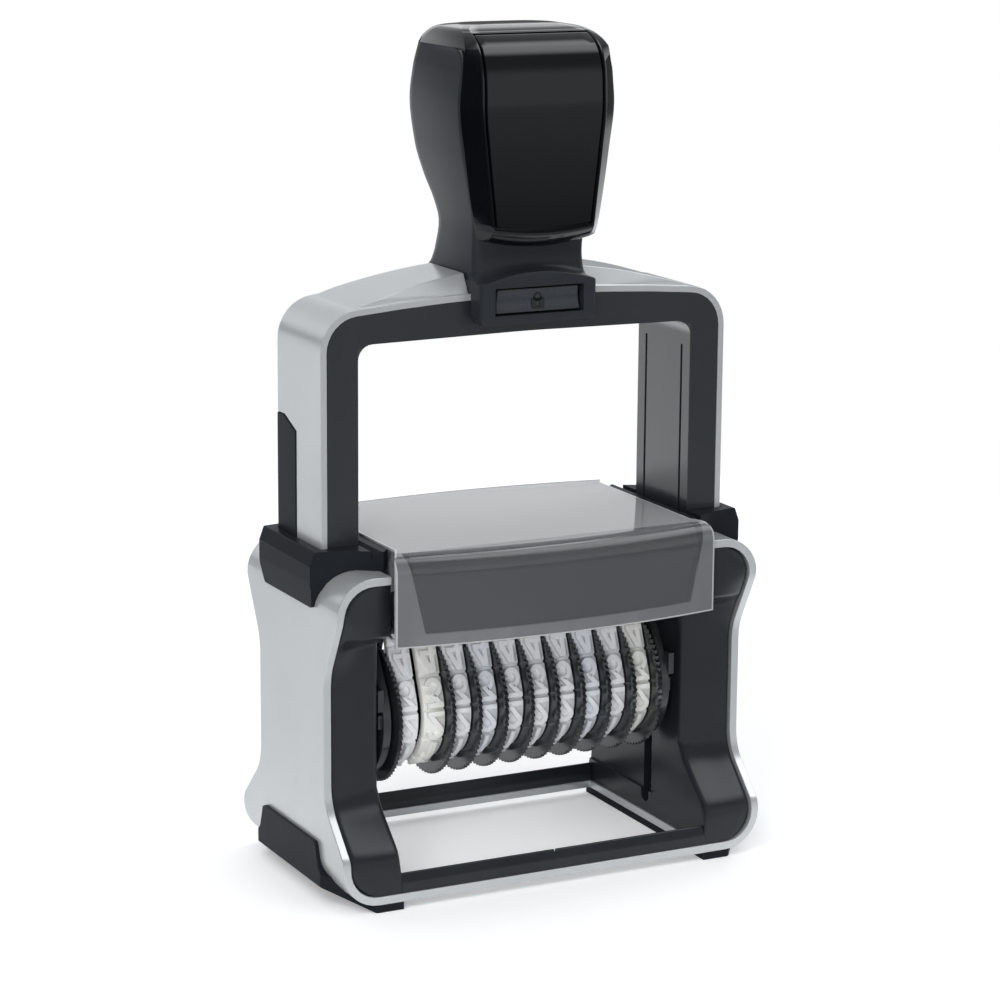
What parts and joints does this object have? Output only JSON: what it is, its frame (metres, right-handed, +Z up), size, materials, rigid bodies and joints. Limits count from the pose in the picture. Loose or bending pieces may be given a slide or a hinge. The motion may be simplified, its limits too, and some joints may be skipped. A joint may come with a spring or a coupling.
{
  "type": "number stamp",
  "caption": "Self-inking number stamp with a waisted silver base, rubber number bands on toothed wheels, a smoke-clear hood over the ink pad and a sprung bow with a tall handle.",
  "frame": {"origin": "on the desk, below the middle of the stamp", "axes": "+Z up along the stroke, +X to the right along the row of bands, -Y towards the front of the handle"},
  "size_m": [0.082, 0.0476, 0.1446],
  "materials": {
    "silver": "satin",
    "black_plastic": "satin",
    "dark_plastic": "matte",
    "gloss_black": "gloss",
    "smoke_clear": "clear gloss",
    "white_rubber": "matte",
    "wheel_plastic": "matte",
    "steel": "bright",
    "ink_felt": "inked"
  },
  "bodies": {
    "base": {"base_shell": "silver", "side_frame_left": "black_plastic", "side_frame_right": "black_plastic", "window_rails": "black_plastic", "collar_left": "black_plastic", "collar_right": "black_plastic", "foot_left": "black_plastic", "foot_right": "black_plastic", "hood": "smoke_clear", "spring_left": "steel", "spring_right": "steel"},
    "pad": {"pad_cassette": "dark_plastic", "ink_pad": "ink_felt"},
    "bow": {"bow_strap": "silver", "bow_lining": "black_plastic", "leg_strip_left": "black_plastic", "leg_strip_right": "black_plastic", "handle_body": "black_plastic", "handle_cap": "gloss_black", "front_plate": "gloss_black", "pivot_pin_left": "steel", "pivot_pin_right": "steel"},
    "lock": {"lock_button": "black_plastic"},
    "carrier": {"carrier_plate_left": "black_plastic", "carrier_plate_right": "black_plastic", "wheel_axle": "steel", "print_bar": "dark_plastic", "band_01": "white_rubber", "band_02": "white_rubber", "band_03": "white_rubber", "band_04": "white_rubber", "band_05": "white_rubber", "band_06": "white_rubber", "band_07": "white_rubber", "band_08": "white_rubber", "band_09": "white_rubber", "band_10": "white_rubber"},
    "wheel_01": {"wheel_01": "wheel_plastic"},
    "wheel_02": {"wheel_02": "wheel_plastic"},
    "wheel_03": {"wheel_03": "wheel_plastic"},
    "wheel_04": {"wheel_04": "wheel_plastic"},
    "wheel_05": {"wheel_05": "wheel_plastic"},
    "wheel_06": {"wheel_06": "wheel_plastic"},
    "wheel_07": {"wheel_07": "wheel_plastic"},
    "wheel_08": {"wheel_08": "wheel_plastic"},
    "wheel_09": {"wheel_09": "wheel_plastic"},
    "wheel_10": {"wheel_10": "wheel_plastic"}
  },
  "joints": [
    {"name": "bow_press", "type": "slide", "parent": "base", "child": "bow", "axis": [0, 0, 1], "range_m": [-0.033, 0], "stiffness_N_per_m": 400, "springref_m": 0.02, "deforming": ["spring_left", "spring_right"]},
    {"name": "carrier_flip", "type": "hinge", "parent": "bow", "child": "carrier", "pos_m": [0, 0, 0.0395], "axis": [1, 0, 0], "range_deg": [-180, 0]},
    {"name": "lock_push", "type": "slide", "parent": "bow", "child": "lock", "axis": [0, 1, 0], "range_m": [0, 0.0012], "stiffness_N_per_m": 500, "springref_m": -0.001},
    {"name": "pad_slide", "type": "slide", "parent": "base", "child": "pad", "axis": [0, 1, 0], "range_m": [0, 0.042]},
    {"name": "wheel_turn_01", "type": "hinge", "parent": "carrier", "child": "wheel_01", "pos_m": [-0.0225, 0, 0.0285], "axis": [1, 0, 0], "continuous": true},
    {"name": "wheel_turn_02", "type": "hinge", "parent": "carrier", "child": "wheel_02", "pos_m": [-0.0175, 0, 0.0285], "axis": [1, 0, 0], "continuous": true},
    {"name": "wheel_turn_03", "type": "hinge", "parent": "carrier", "child": "wheel_03", "pos_m": [-0.0125, 0, 0.0285], "axis": [1, 0, 0], "continuous": true},
    {"name": "wheel_turn_04", "type": "hinge", "parent": "carrier", "child": "wheel_04", "pos_m": [-0.0075, 0, 0.0285], "axis": [1, 0, 0], "continuous": true},
    {"name": "wheel_turn_05", "type": "hinge", "parent": "carrier", "child": "wheel_05", "pos_m": [-0.0025, 0, 0.0285], "axis": [1, 0, 0], "continuous": true},
    {"name": "wheel_turn_06", "type": "hinge", "parent": "carrier", "child": "wheel_06", "pos_m": [0.0025, 0, 0.0285], "axis": [1, 0, 0], "continuous": true},
    {"name": "wheel_turn_07", "type": "hinge", "parent": "carrier", "child": "wheel_07", "pos_m": [0.0075, 0, 0.0285], "axis": [1, 0, 0], "continuous": true},
    {"name": "wheel_turn_08", "type": "hinge", "parent": "carrier", "child": "wheel_08", "pos_m": [0.0125, 0, 0.0285], "axis": [1, 0, 0], "continuous": true},
    {"name": "wheel_turn_09", "type": "hinge", "parent": "carrier", "child": "wheel_09", "pos_m": [0.0175, 0, 0.0285], "axis": [1, 0, 0], "continuous": true},
    {"name": "wheel_turn_10", "type": "hinge", "parent": "carrier", "child": "wheel_10", "pos_m": [0.0225, 0, 0.0285], "axis": [1, 0, 0], "continuous": true}
  ],
  "couplings": [
    {"joint": "carrier_flip", "follows": "bow_press", "rad_per_m": 95.199}
  ]
}
